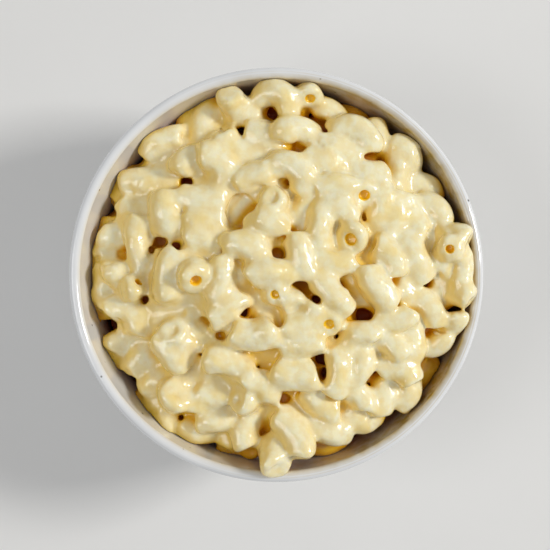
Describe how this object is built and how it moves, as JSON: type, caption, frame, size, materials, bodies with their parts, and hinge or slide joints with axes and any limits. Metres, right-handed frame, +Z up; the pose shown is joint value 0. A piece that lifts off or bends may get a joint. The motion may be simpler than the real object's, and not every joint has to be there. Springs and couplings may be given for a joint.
{
  "type": "mac and cheese",
  "caption": "Heaped serving of sauced elbow macaroni in a round white glazed bowl with a half-round lip and a foot ring.",
  "frame": {"origin": "centre of the foot ring's flat underside, on the table", "axes": "+Z up out of the bowl; +X and +Y are level, and +Y points to the far side of the table as the diner sees it"},
  "size_m": [0.15, 0.15, 0.0787],
  "materials": {
    "glazed_porcelain": "clear glossy glaze over a white body, with a few tiny dark specks",
    "sauced_macaroni": null
  },
  "bodies": {
    "root": {"bowl": "glazed_porcelain", "macaroni_heap": "sauced_macaroni"}
  },
  "joints": []
}
